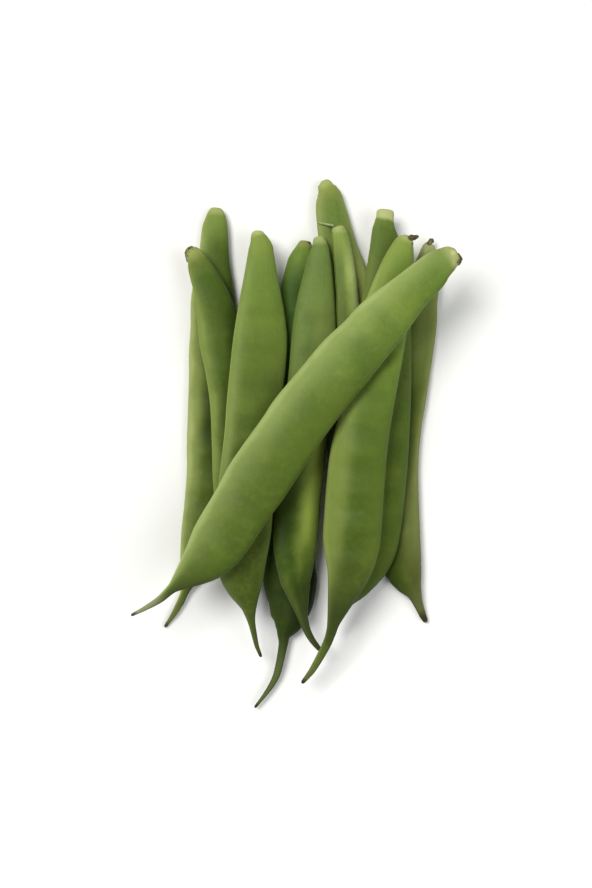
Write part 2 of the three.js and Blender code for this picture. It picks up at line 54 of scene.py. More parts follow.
# [x, y, z, half width, half thickness, lean] from the stem end to the tail tip
PODS = {
    "pod_left_outer": dict(slot="skin_olive", body=136.6, seeds=8, pinch=0.07, sections=[
        [-29.11, 86.89, 2.74, 2.57, 2.07, -3.3], [-29.22, 85.31, 2.78, 2.82, 2.17, -3.3],
        [-29.39, 81.85, 2.86, 4.07, 2.66, -3.3], [-29.68, 78.14, 2.95, 4.74, 2.87, -3.3],
        [-30.05, 67.15, 3.18, 5.68, 3.14, -3.2], [-30.41, 54.02, 3.40, 7.82, 3.69, -1.9],
        [-29.91, 42.27, 3.55, 8.61, 3.87, -0.7], [-29.97, 32.89, 3.63, 9.10, 3.98, 0.2],
        [-29.99, 23.16, 3.68, 9.09, 3.98, 1.2], [-30.64, -0.14, 3.68, 9.17, 3.99, 2.1],
        [-30.99, -10.03, 3.62, 8.83, 3.92, 1.4], [-32.30, -22.73, 3.50, 8.50, 3.85, 0.4],
        [-34.58, -34.50, 3.33, 7.54, 3.62, -0.4], [-37.54, -45.05, 3.13, 4.97, 2.94, -1.2],
        [-39.91, -52.07, 2.86, 2.09, 1.91, -1.3], [-40.71, -54.24, 2.57, 1.46, 1.36, -1.3],
        [-42.43, -58.21, 2.04, 1.28, 1.00, -1.3], [-44.64, -62.24, 1.79, 0.99, 0.68, -1.3],
        [-46.56, -65.05, 1.25, 0.72, 0.56, -1.3], [-48.25, -67.49, 0.71, 0.50, 0.46, -1.3],
    ]),
    "pod_left_inner": dict(slot="skin_deep", body=114.2, seeds=7, pinch=0.07, sections=[
        [-38.33, 70.63, 11.30, 1.74, 1.55, 10.5], [-37.57, 69.39, 11.38, 2.28, 1.98, 10.5],
        [-36.15, 67.11, 11.45, 3.22, 2.32, 10.5], [-34.60, 63.71, 11.51, 4.41, 2.75, 10.5],
        [-30.26, 52.88, 11.76, 6.28, 3.28, 12.1], [-26.30, 37.57, 11.80, 8.79, 3.88, 17.4],
        [-24.44, 27.70, 11.67, 8.78, 3.87, 20.8], [-23.30, 17.30, 11.42, 8.53, 3.82, 24.3],
        [-22.83, 6.68, 11.03, 8.30, 3.77, 25.8], [-23.09, -14.08, 9.89, 7.19, 3.51, 22.0],
        [-23.54, -32.49, 8.47, 4.76, 2.85, 18.7], [-23.49, -40.27, 7.75, 2.76, 2.17, 18.5],
        [-23.38, -43.78, 6.95, 1.78, 1.66, 18.5], [-23.19, -48.48, 5.55, 0.55, 0.52, 18.5],
        [-23.00, -52.55, 4.35, 0.50, 0.46, 18.5],
    ]),
    "pod_left_broad": dict(slot="skin_mid", body=138.4, seeds=8, pinch=0.08, sections=[
        [-13.63, 77.38, 9.99, 2.10, 1.83, 19.5], [-13.59, 75.32, 10.25, 2.72, 2.08, 19.5],
        [-13.03, 73.26, 10.81, 3.69, 2.46, 19.5], [-12.63, 71.27, 11.09, 4.45, 2.74, 19.5],
        [-12.59, 68.85, 11.37, 4.84, 2.90, 19.5], [-12.53, 60.22, 12.62, 6.38, 3.33, 19.5],
        [-12.53, 44.76, 14.51, 9.25, 4.01, 19.9], [-13.02, 33.13, 15.65, 10.33, 4.24, 20.3],
        [-14.90, 14.35, 16.94, 10.32, 4.24, 20.9], [-15.98, 1.34, 17.44, 10.25, 4.22, 21.4],
        [-17.93, -18.12, 17.56, 10.54, 4.28, 20.8], [-18.80, -30.64, 17.24, 10.58, 4.29, 20.3],
        [-19.43, -42.43, 16.67, 9.27, 4.02, 19.9], [-18.50, -50.49, 16.11, 7.20, 3.54, 19.6],
        [-16.91, -57.84, 15.48, 3.31, 2.40, 19.5], [-16.55, -60.16, 14.98, 2.31, 2.00, 19.5],
        [-15.88, -64.72, 13.10, 1.26, 1.17, 19.5], [-14.36, -72.61, 9.56, 0.83, 0.74, 19.5],
        [-13.63, -74.95, 8.41, 0.71, 0.62, 19.5], [-12.63, -77.64, 7.26, 0.55, 0.48, 19.5],
    ]),
    "pod_centre_long": dict(slot="skin_deep", body=144.1, seeds=8, pinch=0.08, sections=[
        [3.51, 74.66, 3.72, 2.63, 2.12, 5.4], [3.31, 72.91, 3.72, 2.63, 2.12, 5.4],
        [2.90, 69.21, 3.71, 4.67, 2.91, 5.4], [2.57, 65.08, 3.71, 6.02, 3.30, 5.4],
        [1.62, 50.17, 3.71, 8.27, 3.87, 5.1], [0.69, 25.24, 3.72, 8.99, 4.03, 2.9],
        [-1.79, -25.63, 3.84, 9.05, 4.05, -1.9], [-2.52, -43.63, 3.91, 9.50, 4.15, -3.6],
        [-2.18, -50.52, 3.94, 9.74, 4.20, -4.3], [-1.91, -57.14, 3.97, 8.47, 3.92, -5.0],
        [-2.57, -62.28, 4.00, 6.91, 3.54, -5.6], [-2.97, -65.31, 4.03, 5.56, 3.17, -6.2],
        [-3.74, -67.88, 3.94, 3.99, 2.43, -6.4], [-4.47, -70.37, 3.90, 2.30, 1.73, -6.5],
        [-4.73, -73.74, 3.85, 1.59, 1.40, -6.6], [-6.49, -82.50, 3.48, 1.28, 1.12, -6.6],
        [-8.21, -87.07, 3.27, 1.06, 0.91, -6.6], [-11.25, -91.77, 3.17, 0.79, 0.62, -6.6],
        [-15.15, -96.81, 2.58, 0.49, 0.46, -6.6],
    ]),
    "pod_centre_upper": dict(slot="skin_grey", body=135.9, seeds=8, pinch=0.07, sections=[
        [7.92, 75.26, 10.40, 2.17, 1.90, 6.8], [8.37, 73.61, 10.44, 2.22, 1.92, 6.8],
        [8.83, 70.33, 10.53, 3.38, 2.55, 6.8], [8.35, 62.58, 10.74, 5.22, 3.17, 6.8],
        [7.07, 45.54, 11.16, 7.75, 3.86, 7.9], [5.92, 24.98, 11.62, 8.61, 4.07, 10.0],
        [4.62, 12.24, 11.88, 8.70, 4.09, 11.3], [2.88, -0.81, 12.13, 8.34, 4.01, 12.7],
        [0.87, -20.41, 12.45, 8.23, 3.98, 14.8], [-0.20, -36.04, 12.67, 8.22, 3.98, 16.5],
        [-0.14, -47.63, 12.81, 6.10, 3.43, 17.8], [0.54, -52.58, 12.89, 4.73, 2.98, 18.2],
        [1.44, -57.49, 12.96, 3.21, 2.45, 18.6], [2.43, -62.34, 12.52, 1.94, 1.79, 18.8],
        [3.83, -67.03, 11.47, 1.39, 1.29, 18.8], [5.68, -70.71, 10.59, 1.17, 1.09, 18.8],
        [7.92, -73.72, 9.79, 0.95, 0.88, 18.8], [8.73, -74.62, 9.43, 0.73, 0.62, 18.8],
        [9.68, -75.76, 9.30, 0.54, 0.48, 18.8],
    ]),
    "pod_back_slim": dict(slot="skin_light", body=98.8, seeds=6, pinch=0.06, sections=[
        [14.92, 78.83, 11.42, 2.39, 2.22, 39.9], [15.57, 76.49, 11.53, 2.53, 2.32, 39.9],
        [15.88, 75.31, 11.58, 3.12, 2.63, 39.9], [16.79, 69.85, 11.82, 3.83, 2.91, 39.9],
        [18.37, 55.59, 12.24, 4.61, 3.19, 41.1], [18.88, 47.21, 12.38, 4.91, 3.30, 42.0],
        [19.03, 38.22, 12.43, 4.90, 3.29, 43.1], [18.73, 21.72, 12.28, 4.70, 3.22, 44.6],
        [18.15, -1.39, 11.51, 4.12, 3.02, 38.7], [17.93, -13.71, 10.83, 3.37, 2.73, 35.6],
        [17.82, -20.88, 10.24, 2.23, 2.08, 34.9], [17.89, -25.64, 9.19, 1.24, 1.16, 34.9],
        [17.97, -28.47, 8.55, 0.56, 0.52, 34.9], [18.03, -33.38, 7.46, 0.50, 0.46, 34.9],
    ]),
    "pod_back_tall": dict(slot="skin_mid", body=138.1, seeds=7, pinch=0.07, sections=[
        [10.13, 96.63, 3.76, 1.61, 1.50, 9.9], [10.68, 95.24, 3.77, 2.45, 2.05, 9.9],
        [11.04, 93.77, 3.78, 3.07, 2.38, 9.9], [11.70, 92.20, 3.79, 3.99, 2.72, 9.9],
        [12.36, 89.82, 3.80, 4.83, 2.98, 9.9], [12.93, 84.83, 3.81, 5.69, 3.24, 9.9],
        [15.47, 71.62, 3.85, 6.95, 3.58, 9.3], [18.38, 58.76, 3.86, 8.54, 3.97, 8.3],
        [19.52, 38.25, 3.84, 8.54, 3.97, 6.9], [19.49, 13.53, 3.73, 8.28, 3.91, 5.9],
        [19.47, -18.24, 3.48, 7.54, 3.73, 5.9], [19.55, -28.13, 3.38, 6.68, 3.51, 5.9],
        [20.00, -36.78, 3.28, 4.71, 2.95, 5.9], [20.52, -42.36, 3.21, 2.63, 2.20, 5.9],
        [21.01, -47.22, 2.24, 0.55, 0.51, 5.9], [21.13, -48.72, 1.93, 0.50, 0.46, 5.9],
    ]),
    "pod_right_capped": dict(slot="skin_deep", body=146.2, seeds=8, pinch=0.07, sections=[
        [32.49, 85.20, 9.46, 2.90, 2.10, 12.0], [32.33, 82.75, 9.61, 3.01, 2.13, 12.0],
        [32.13, 80.79, 9.96, 3.26, 2.23, 12.0], [31.94, 79.13, 10.14, 3.88, 2.44, 12.0],
        [31.99, 76.32, 10.31, 4.61, 2.69, 12.0], [32.79, 67.73, 11.07, 6.68, 3.24, 12.0],
        [32.81, 57.69, 11.84, 8.31, 3.62, 12.8], [32.50, 46.45, 12.55, 9.38, 3.84, 14.0],
        [31.92, 21.45, 13.56, 10.16, 4.00, 16.5], [31.09, -4.97, 13.75, 9.96, 3.96, 19.3],
        [29.27, -30.20, 13.09, 9.40, 3.85, 22.1], [26.94, -41.36, 12.52, 8.59, 3.68, 23.3],
        [22.35, -50.49, 11.87, 5.98, 3.07, 24.0], [17.41, -57.93, 11.19, 2.54, 2.00, 24.0],
        [14.71, -65.06, 8.36, 0.58, 0.54, 24.0], [14.04, -68.35, 7.04, 0.50, 0.46, 24.0],
    ]),
    "pod_right_broad": dict(slot="skin_mid", body=142.4, seeds=8, pinch=0.09, sections=[
        [40.30, 74.48, 18.02, 1.43, 1.33, -4.2], [39.47, 72.88, 18.25, 2.86, 2.17, -4.2],
        [38.08, 69.93, 18.74, 4.11, 2.71, -4.2], [35.59, 61.08, 19.78, 6.19, 3.34, -4.2],
        [31.35, 43.34, 21.62, 8.53, 3.92, -4.6], [25.22, 12.00, 23.33, 9.07, 4.04, -5.6],
        [22.01, -5.04, 23.42, 10.02, 4.25, -6.1], [20.03, -29.22, 22.56, 10.28, 4.30, -7.8],
        [19.72, -35.93, 22.13, 9.97, 4.24, -8.2], [19.19, -42.43, 21.62, 8.68, 3.95, -8.7],
        [17.92, -48.60, 21.05, 6.87, 3.51, -9.1], [13.71, -62.65, 19.43, 2.56, 2.14, -10.1],
        [12.42, -67.89, 17.86, 1.71, 1.59, -10.2], [10.66, -72.66, 16.03, 1.48, 1.38, -10.2],
        [6.45, -80.78, 12.75, 1.19, 1.07, -10.2], [4.15, -84.12, 11.55, 0.94, 0.80, -10.2],
        [2.13, -86.74, 10.36, 0.65, 0.53, -10.2],
    ]),
    "pod_right_outer": dict(slot="skin_deep", body=129.1, seeds=7, pinch=0.07, sections=[
        [48.96, 73.74, 3.29, 1.46, 1.36, -1.1], [48.66, 72.31, 3.30, 2.31, 2.04, -1.1],
        [48.04, 66.06, 3.33, 4.30, 2.96, -1.1], [46.93, 58.36, 3.38, 5.42, 3.33, -1.1],
        [45.79, 51.78, 3.41, 5.94, 3.48, -0.7], [44.35, 41.96, 3.46, 6.95, 3.77, 0.0],
        [40.23, 16.93, 3.56, 7.38, 3.88, 1.9], [38.58, 5.01, 3.60, 7.16, 3.83, 2.8],
        [37.42, -9.99, 3.63, 7.27, 3.86, 1.3], [37.47, -32.72, 3.66, 7.83, 4.00, -1.5],
        [38.49, -42.81, 3.66, 7.31, 3.87, -2.7], [39.73, -47.28, 3.66, 6.44, 3.63, -3.1],
        [41.43, -51.26, 3.66, 4.83, 3.14, -3.1], [43.30, -54.87, 3.66, 2.72, 2.36, -3.1],
        [44.73, -58.53, 2.99, 1.74, 1.60, -3.1], [46.41, -62.66, 2.00, 1.28, 1.11, -3.1],
        [47.17, -64.23, 1.71, 1.06, 0.78, -3.1], [47.89, -65.58, 1.44, 0.81, 0.58, -3.1],
    ]),
    "pod_diagonal": dict(slot="skin_light", body=159.7, seeds=9, pinch=0.08, sections=[
        [56.92, 66.25, 31.43, 2.24, 1.90, -8.2], [55.77, 65.73, 31.37, 2.80, 2.13, -8.2],
        [53.12, 64.62, 31.24, 4.41, 2.74, -8.2], [49.50, 62.11, 31.11, 5.70, 3.11, -8.2],
        [46.31, 58.92, 30.96, 6.53, 3.33, -8.2], [40.70, 53.85, 30.71, 7.12, 3.48, -8.2],
        [30.53, 43.55, 30.26, 9.37, 3.99, -8.2], [24.17, 36.28, 29.97, 9.79, 4.08, -8.2],
        [17.25, 28.74, 29.68, 10.59, 4.24, -8.2], [10.41, 20.56, 29.38, 10.58, 4.24, -8.2],
        [1.32, 9.05, 28.99, 10.98, 4.32, -8.2], [-2.82, 2.89, 28.80, 10.94, 4.31, -8.2],
        [-13.20, -12.32, 28.35, 11.27, 4.38, -8.2], [-18.89, -21.41, 28.11, 10.57, 4.24, -8.2],
        [-26.18, -32.90, 27.82, 10.24, 4.17, -8.2], [-29.80, -38.18, 27.69, 9.28, 3.97, -8.2],
        [-33.91, -42.61, 27.57, 7.39, 3.54, -8.2], [-42.38, -49.83, 27.36, 2.40, 2.02, -8.2],
        [-44.32, -51.55, 26.81, 1.64, 1.52, -8.2], [-48.25, -55.08, 25.75, 1.20, 1.11, -8.2],
        [-53.42, -58.25, 24.39, 0.81, 0.63, -8.2], [-58.52, -60.91, 23.27, 0.50, 0.46, -8.2],
    ]),
}

REMNANTS = {
    "calyx_left": dict(slot="calyx_dry", cap=0.3, dark=(0.095, 0.088, 0.036), light=(0.26, 0.265, 0.125), sections=[
        [-39.38, 65.25, 11.10, 0.22, 0.50, 0.0], [-39.88, 67.53, 11.25, 0.34, 1.00, 0.0],
        [-40.00, 69.34, 11.40, 0.36, 1.30, 0.0], [-39.29, 70.63, 11.50, 0.34, 1.20, 0.0],
        [-38.16, 71.34, 11.60, 0.30, 1.00, 0.0], [-36.65, 71.43, 11.70, 0.20, 0.50, 0.0],
    ]),
    "calyx_diagonal": dict(slot="calyx_dry", cap=0.3, dark=(0.060, 0.052, 0.022), light=(0.145, 0.130, 0.055), sections=[
        [56.78, 67.39, 31.73, 0.20, 0.40, 0.0], [57.59, 66.13, 31.63, 0.34, 0.90, 0.0],
        [58.07, 64.58, 31.43, 0.50, 1.20, 0.0], [57.39, 62.85, 31.33, 0.48, 1.10, 0.0],
        [56.10, 61.51, 31.23, 0.25, 0.50, 0.0],
    ]),
    "calyx_mid": dict(slot="calyx_dry", cap=0.4, dark=(0.052, 0.042, 0.018), light=(0.15, 0.135, 0.06), sections=[
        [40.12, 73.36, 20.86, 0.55, 0.35, 0.0], [40.99, 73.53, 20.56, 0.85, 0.50, 0.0],
        [42.08, 73.66, 19.24, 0.95, 0.60, 8.0], [43.25, 74.08, 17.84, 0.62, 0.50, 12.0],
        [44.19, 74.20, 17.74, 0.45, 0.40, 14.0],
    ]),
    "calyx_right": dict(slot="calyx_dry", cap=0.4, dark=(0.080, 0.074, 0.030), light=(0.22, 0.21, 0.10), sections=[
        [48.26, 72.69, 5.73, 0.50, 0.30, 0.0], [48.79, 73.53, 5.43, 0.80, 0.45, 0.0],
        [49.62, 74.33, 4.15, 0.95, 0.60, 0.0], [50.55, 74.67, 3.51, 0.60, 0.45, 0.0],
    ]),
    "stalk_thread": dict(slot="stalk_pale", cap=0.3, dark=(0.31, 0.37, 0.15), light=(0.43, 0.49, 0.22), sections=[
        [13.45, 78.68, 12.88, 0.36, 0.36, 0.0], [12.69, 79.10, 10.94, 0.42, 0.42, 0.0],
        [11.56, 79.50, 9.54, 0.42, 0.42, 0.0], [10.38, 79.89, 8.34, 0.40, 0.40, 0.0],
        [9.13, 80.26, 7.44, 0.38, 0.38, 0.0], [7.97, 80.60, 6.60, 0.30, 0.30, 0.0],
    ]),
}

# How each pod differs: top and low are the colours near the stem end and near
# the tail. They are partly the skin's own green and partly painted shade: low is darker
# where the pod turns down away from the light or lies in another pod's shadow.
# edge is the colour of its rims, partly their paler skin and partly a painted highlight.
# seam is the edge (1 or -1 across the pod) with the stronger seam, collar a raised ring
# where the cap of the stem end meets the pod, dip how deep the skin sinks between
# two seeds in millimetres, and tip how much fuller the stem end is. The zone list (mostly
# painted light and shade) and creases are as in the code below. marks [point, radius,
# tone, amount] are the small spots that it carries.
LOOK = {
    # left_outer: painted shade over its right side, where left_inner overhangs it, and a painted highlight on its left
    # rim
    "pod_left_outer": dict(
        top=(0.090, 0.142, 0.022), low=(0.086, 0.128, 0.015), edge=(0.330, 0.390, 0.132), seam=-1,
        rim_left=1.0, rim_right=0.0, rim_from=0.24, blunt=2.4, fade=(0.1, 0.4), tail_tone=(0.13, 0.15, 0.05),
        tail_rim_shade=(0.1, 0.6), scar_tone=(0.40, 0.44, 0.22), scar_mix=0.60, neck_mix=0.62,
        painted_light_and_tone_zones=[(10, 150, -0.15, 1.3, 0.40, (0.042, 0.066, 0.008), 0.60), (34, 92, -0.35, 1.3, 0.30, (0.022, 0.036, 0.004), 0.82)]),
    # left_inner: painted shade in its dark top, low and zone colours, deepest over the right side that turns from the
    # light under left_broad; a painted highlight on its left rim
    "pod_left_inner": dict(
        top=(0.058, 0.096, 0.014), low=(0.050, 0.083, 0.009), edge=(0.200, 0.265, 0.059), seam=-1,
        rim_left=0.90, rim_right=0.0, neck=(2.0, 13.0), neck_mix=0.58, neck_tone=(0.20, 0.25, 0.050), tip=0.22,
        cap_tone=(0.30, 0.33, 0.100), cap_mix=0.80, capped=(2.0, 6.0), scar_tone=(0.14, 0.12, 0.045),
        marks=[((-39.05, 67.55, 13.1), 0.6, (0.050, 0.048, 0.016), 0.80), ((-38.4, 69.2, 13.6), 0.35, (0.080, 0.080, 0.024), 0.70),
               ((-37.2, 70.1, 13.4), 0.40, (0.100, 0.100, 0.032), 0.60), ((-36.0, 70.6, 12.8), 0.45, (0.100, 0.090, 0.030), 0.60)],
        painted_light_and_tone_zones=[(22, 150, 0.15, 1.3, 0.45, (0.026, 0.046, 0.006), 0.75)]),
    # left_broad: its darker low colour is painted shade where the diagonal pod's shadow falls on its lower part; the
    # zone entry is a darker patch in the middle of the face
    "pod_left_broad": dict(
        top=(0.142, 0.214, 0.040), low=(0.060, 0.086, 0.013), edge=(0.235, 0.305, 0.082), seam=-1,
        painted_light_and_tone_zones=[(40, 66, -0.7, 0.45, 0.40, (0.078, 0.118, 0.018), 0.50)],
        rim_left=0.60, rim_right=0.50, rim_from=0.50, dip=0.32, deep=0.32, fade=(0.15, 0.78), tip_dry=3.4, cap_tone=(0.42, 0.47, 0.19),
        capped=(1.0, 3.8), scar_tone=(0.46, 0.49, 0.27), scar_mix=0.65, tail_tone=(0.075, 0.090, 0.030)),
    # centre_long: its dark top and low colours are painted shade, as it lies under the pods above it; the second zone
    # entry is painted shade near the tail, the first a greener middle; marks: dark spots at the right side of the stem
    # end
    "pod_centre_long": dict(
        top=(0.034, 0.080, 0.007), low=(0.020, 0.036, 0.005), edge=(0.100, 0.152, 0.027), seam=1,
        rim_left=0.30, rim_right=0.15, line=0.15, blunt=2.5, tail_len=30.0, tail_tone=(0.110, 0.135, 0.045), tail_mix=0.7,
        painted_light_and_tone_zones=[(30, 96, -1.4, 1.4, 0.30, (0.080, 0.170, 0.012), 0.80), (114, 150, 0.10, 1.5, 0.30, (0.013, 0.020, 0.004), 0.80)],
        cap_tone=(0.25, 0.27, 0.080), neck_tone=(0.170, 0.262, 0.042),
        marks=[((5.02, 73.55, 5.1), 0.8, (0.060, 0.052, 0.018), 0.85), ((5.57, 71.6, 5.2), 0.5, (0.055, 0.052, 0.017), 0.70), ((3.7, 74.4, 3.4), 0.5, (0.110, 0.100, 0.035), 0.55)]),
    # centre_upper: a paler upper face, painted light along its right ridge, the diagonal pod's shadow painted over its
    # left side, and painted shade in its dark low colour and towards the tail
    "pod_centre_upper": dict(
        top=(0.122, 0.184, 0.046), low=(0.046, 0.082, 0.006), edge=(0.205, 0.275, 0.077), seam=1,
        rim_left=0.20, rim_right=0.45, fade=(0.45, 0.80), neck_mix=0.60, neck_tone=(0.150, 0.215, 0.052),
        creases=[(66, 118, 0.42, 0.28, 0.55), (66, 118, -0.35, 0.40, -0.35)],
        painted_light_and_tone_zones=[(26, 66, -0.1, 1.2, 0.40, (0.200, 0.260, 0.066), 0.66),
               (54, 112, 0.10, 1.00, 0.42, (0.262, 0.336, 0.056), 0.82),
               (60, 116, -1.3, -0.22, 0.42, (0.020, 0.038, 0.004), 0.85), (108, 124, -0.12, 0.35, 0.26, (0.190, 0.250, 0.050), 0.42),
               (124, 170, -0.5, 1.4, 0.35, (0.018, 0.028, 0.005), 0.74)],
        tail_len=24.0, tail_tone=(0.045, 0.058, 0.018), tail_mix=0.70),
    # back_slim: painted shade down its left side beside centre_upper, and painted light over its right side and in its
    # bright top and low colours
    "pod_back_slim": dict(
        top=(0.250, 0.340, 0.090), low=(0.310, 0.410, 0.105), edge=(0.340, 0.430, 0.132), seam=1,
        rim_left=0.0, rim_right=0.80, fade=(0.0, 0.35),
        painted_light_and_tone_zones=[(2, 80, -1.3, -0.55, 0.30, (0.066, 0.106, 0.020), 0.78),
               (10, 80, -0.15, 1.3, 0.35, (0.440, 0.530, 0.190), 0.90)],
        marks=[((13.75, 77.2, 13.2), 0.30, (0.140, 0.110, 0.045), 0.60), ((16.5, 76.2, 14.1), 0.15, (0.150, 0.120, 0.045), 0.50),
               ((14.9, 73.6, 15.4), 0.10, (0.140, 0.115, 0.040), 0.50)]),
    # back_tall: painted light over its right side, which the lamps leave in shade
    "pod_back_tall": dict(
        top=(0.128, 0.188, 0.037), low=(0.148, 0.208, 0.037), edge=(0.300, 0.360, 0.115), seam=1,
        rim_left=0.75, rim_right=0.60, neck_tone=(0.260, 0.305, 0.075), neck=(1.5, 11.0), fade=(0.1, 0.45),
        painted_light_and_tone_zones=[(28, 120, 0.20, 1.2, 0.35, (0.380, 0.440, 0.130), 0.92)],
        marks=[((12.97, 83.5, 7.1), 0.30, (0.020, 0.045, 0.008), 0.90), ((12.5, 81.8, 7.2), 0.10, (0.030, 0.060, 0.010), 0.60)]),
    "pod_right_capped": dict(
        top=(0.090, 0.138, 0.026), low=(0.054, 0.091, 0.010), edge=(0.180, 0.240, 0.055), seam=-1,
        rim_left=0.50, rim_right=0.0, line=0.0, collar=0.13, collar_at=4.6, capped=(3.4, 5.2), tip=0.14,
        cap_tone=(0.44, 0.48, 0.20), cap_mix=0.88, neck=(2.0, 9.0), neck_mix=0.45, scar_mix=0.25),
    # right_broad: a painted highlight along its left rim (rim_left and the second zone entry), a darker middle that is
    # partly the diagonal pod's painted shadow, and painted shade over its lower end in its low colour and last two zone
    # entries; marks: a dark stain under the calyx and a dark strip down the right edge below it
    "pod_right_broad": dict(
        top=(0.126, 0.200, 0.028), low=(0.031, 0.052, 0.005), edge=(0.290, 0.365, 0.098), seam=1,
        rim_left=1.0, rim_right=0.10, rim_from=0.0, fade=(0.28, 0.90), line=0.28, line_tone=(0.150, 0.145, 0.052), tip_dry=3.2, tip_solid=1.2,
        tail_rim_shade=(0.30, 0.60), dip=0.42, deep=0.50, painted_light_and_tone_zones=[(56, 116, -0.25, 1.5, 0.40, (0.062, 0.106, 0.012), 0.50), (74, 116, -0.95, -0.26, 0.28, (0.175, 0.232, 0.044), 0.60), (121, 150, -0.70, 1.5, 0.35, (0.034, 0.048, 0.009), 0.55), (130, 152, -1.5, 1.5, 0.40, (0.026, 0.036, 0.008), 0.50)],
        marks=[((40.20, 74.1, 18.5), 1.25, (0.066, 0.056, 0.022), 0.80), ((40.93, 73.0, 19.9), 0.75, (0.034, 0.038, 0.012), 0.90),
               ((41.36, 71.4, 20.0), 0.60, (0.034, 0.044, 0.010), 0.85), ((41.5, 69.2, 20.1), 0.40, (0.040, 0.055, 0.010), 0.70),
               ((41.9, 66.9, 19.7), 0.25, (0.050, 0.070, 0.012), 0.55)]),
    # right_outer: painted light over its upper right and a painted highlight on its right rim, and painted shade where
    # right_capped and right_broad lie over its left and middle; the other zone entries are a yellowish patch, a darker
    # browner lower end and two fine brownish lines
    "pod_right_outer": dict(
        top=(0.088, 0.138, 0.018), low=(0.038, 0.063, 0.006), edge=(0.230, 0.255, 0.080), seam=1,
        rim_left=0.0, rim_right=0.85, rim_from=0.45, tail_rim_shade=(0.6, 0.1), neck_tone=(0.29, 0.32, 0.12), cap_tone=(0.33, 0.35, 0.15),
        line_tone=(0.240, 0.200, 0.110), tip_dry=6.0, tip_solid=2.6, tail_tone=(0.150, 0.165, 0.055),
        painted_light_and_tone_zones=[(10, 46, -0.2, 1.2, 0.35, (0.195, 0.245, 0.066), 0.72), (46, 104, -1.4, 0.50, 0.25, (0.044, 0.072, 0.009), 0.66),
               (50, 150, -1.3, -0.1, 0.35, (0.034, 0.060, 0.005), 0.70),
               (112, 150, 0.10, 1.3, 0.40, (0.058, 0.078, 0.017), 0.65), (92, 116, 0.25, 1.4, 0.30, (0.150, 0.185, 0.052), 0.65),
               (60, 128, 0.10, 0.20, 0.10, (0.085, 0.075, 0.024), 0.45), (40, 128, 0.52, 0.62, 0.10, (0.120, 0.100, 0.040), 0.40)],
        marks=[((47.2, 70.8, 4.9), 1.60, (0.340, 0.370, 0.170), 0.65), ((46.5, 72.5, 4.1), 0.40, (0.110, 0.100, 0.050), 0.45), ((48.0, 73.6, 4.3), 0.80, (0.070, 0.062, 0.028), 0.80),
               ((49.6, 73.2, 3.7), 0.50, (0.090, 0.080, 0.036), 0.70), ((45.6, 70.6, 3.6), 0.35, (0.120, 0.105, 0.055), 0.50)]),
    # diagonal: a painted highlight along its upper-left rim, painted shade along its lower-right side and over its tail
    # end, and a darker middle
    "pod_diagonal": dict(
        top=(0.125, 0.196, 0.032), low=(0.072, 0.115, 0.013), edge=(0.335, 0.420, 0.140), seam=-1,
        rim_left=1.0, rim_right=0.0, rim_from=-0.20, dip=0.32, deep=0.36, fade=(0.05, 0.80), neck=(4.0, 11.0), neck_tone=(0.175, 0.245, 0.055),
        capped=(1.8, 5.6), tip=0.22, blunt=4.5,
        cap_tone=(0.38, 0.40, 0.15), cap_mix=0.85, tail_tone=(0.255, 0.260, 0.150), tail_mix=0.82, tail_rim_shade=(0.0, 0.55),
        painted_light_and_tone_zones=[(40, 190, 0.35, 1.3, 0.40, (0.058, 0.092, 0.013), 0.42),
               (66, 98, -0.30, 0.9, 0.40, (0.082, 0.130, 0.012), 0.40), (94, 144, -0.70, 0.40, 0.40, (0.080, 0.122, 0.011), 0.38), (140, 168, -0.45, 1.4, 0.30, (0.046, 0.068, 0.010), 0.62), (150, 190, 0.15, 1.3, 0.30, (0.050, 0.066, 0.020), 0.60)],
        # marks: the first is a painted highlight on the pale cap, the others are dry brown spots
        marks=[((54.8, 66.7, 33.7), 1.3, (0.520, 0.530, 0.240), 0.60), ((57.4, 66.0, 32.6), 1.2, (0.105, 0.092, 0.034), 0.75),
               ((56.9, 63.6, 33.0), 1.3, (0.085, 0.075, 0.028), 0.75), ((53.6, 68.2, 33.0), 0.5, (0.160, 0.140, 0.050), 0.45)]),
}
# how a remnant clasps the stem end: the point that it is drawn towards and how
# far in millimetres, and how much thicker it is than its solid
CLASP = {
    "calyx_left": dict(toward=(-36.60, 68.40, 11.4), pull=0.55, thick=1.9, tall=1.25),
    "calyx_diagonal": dict(toward=(55.20, 65.00, 31.2), pull=0.75, thick=1.7, tall=1.35),
    "calyx_mid": dict(toward=(38.60, 72.60, 17.6), pull=0.20, thick=1.1, tall=1.1),
    "calyx_right": dict(toward=(48.30, 71.60, 3.0), pull=0.20, thick=1.0, tall=1.1),
    "stalk_thread": dict(thick=1.0, tall=1.0),
}

# ---- shape ---------------------------------------------------------------------

def smoothstep(lo, hi, x):
    t = np.clip((np.asarray(x, float) - lo) / (hi - lo), 0.0, 1.0)
    return t * t * (3 - 2 * t)


def spline(rows, t):
    """Uniform Catmull-Rom through the rows, t from 0 to len(rows) - 1."""
    rows = np.asarray(rows, float)
    n = len(rows)
    ext = np.vstack([2 * rows[0] - rows[1], rows, 2 * rows[-1] - rows[-2]])
    t = np.clip(np.atleast_1d(np.asarray(t, float)), 0, n - 1)
    i = np.minimum(t.astype(int), n - 2)
    w = (t - i)[:, None]
    p0, p1, p2, p3 = ext[i], ext[i + 1], ext[i + 2], ext[i + 3]
    v0, v1 = (p2 - p0) / 2, (p3 - p1) / 2
    return (2 * p1 - 2 * p2 + v0 + v1) * w**3 + (-3 * p1 + 3 * p2 - 2 * v0 - v1) * w**2 + v0 * w + p1


